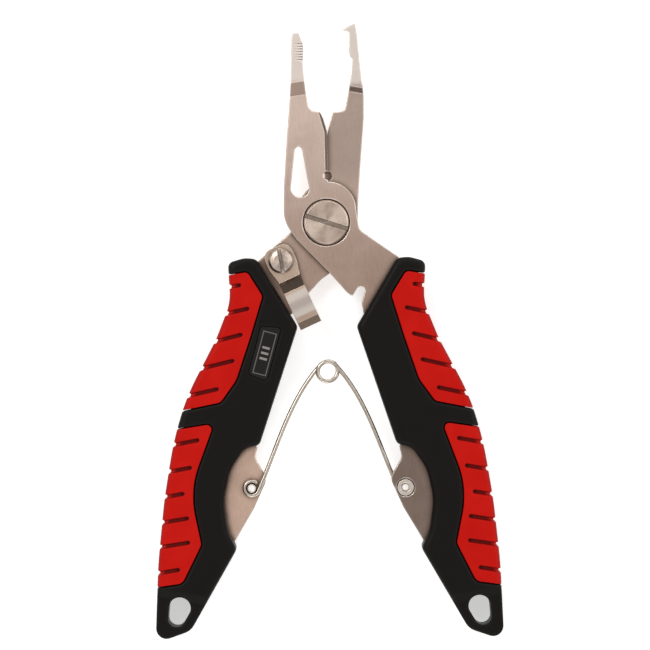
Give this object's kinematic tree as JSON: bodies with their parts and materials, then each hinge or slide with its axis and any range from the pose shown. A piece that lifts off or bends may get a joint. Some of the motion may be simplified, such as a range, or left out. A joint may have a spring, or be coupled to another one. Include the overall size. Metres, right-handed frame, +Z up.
{
  "type": "split ring fishing pliers",
  "caption": "Spring-loaded fishing pliers with a hooked jaw tip, side cutter, swing latch, wire return spring and moulded grips with ribbed inserts.",
  "frame": {"origin": "centre of the whole tool's bounding box in plan, on the back faces of the grips", "axes": "+Z up from the back of the grips to the pivot screw's head, +Y towards the jaws, +X towards the right grip"},
  "size_m": [0.0934, 0.1658, 0.011],
  "materials": {
    "member_steel": "satin stamped plate",
    "turned_steel": "lathe-turned",
    "strip_steel": "polished strip",
    "spring_wire": "drawn wire",
    "black_grip": "satin moulded",
    "red_insert": "soft satin",
    "badge_plate": "gloss"
  },
  "bodies": {
    "front_half": {"front_jaw": "member_steel", "right_grip": "black_grip", "right_upper_insert": "red_insert", "right_lower_insert": "red_insert", "spring_pin_right": "turned_steel"},
    "rear_half": {"rear_jaw": "member_steel", "left_grip": "black_grip", "left_upper_insert": "red_insert", "left_lower_insert": "red_insert", "badge": "badge_plate", "spring_pin_left": "turned_steel", "latch_washer": "strip_steel", "latch_screw": "turned_steel", "pivot_screw": "turned_steel", "pivot_nut": "turned_steel", "pivot_washer": "turned_steel"},
    "latch": {"latch_lever": "strip_steel"},
    "spring_right_leg": {"spring_right": "spring_wire"},
    "spring_left_leg": {"spring_left": "spring_wire"}
  },
  "joints": [
    {"name": "jaw_pivot", "type": "hinge", "parent": "front_half", "child": "rear_half", "pos_m": [-0.00095, 0.02922, 0.0055], "axis": [0, 0, 1], "range_deg": [0, 14.2], "stiffness_Nm_per_rad": 0.35, "springref_deg": -22.92},
    {"name": "latch_swing", "type": "hinge", "parent": "rear_half", "child": "latch", "pos_m": [-0.01318, 0.01891, 0.0055], "axis": [0, 0, 1], "range_deg": [0, 29]},
    {"name": "spring_eye", "type": "hinge", "parent": "front_half", "child": "spring_right_leg", "pos_m": [0.0204, -0.04212, 0.0055], "axis": [0, 0, 1], "range_deg": [-8.7, 0]},
    {"name": "spring_coil", "type": "hinge", "parent": "spring_right_leg", "child": "spring_left_leg", "pos_m": [-0.00049, -0.01108, 0.0055], "axis": [0, 0, 1], "range_deg": [0, 31.4]}
  ],
  "couplings": [
    {"joint": "spring_eye", "follows": "jaw_pivot", "ratio": -0.6},
    {"joint": "spring_coil", "follows": "jaw_pivot", "ratio": 2.18}
  ]
}
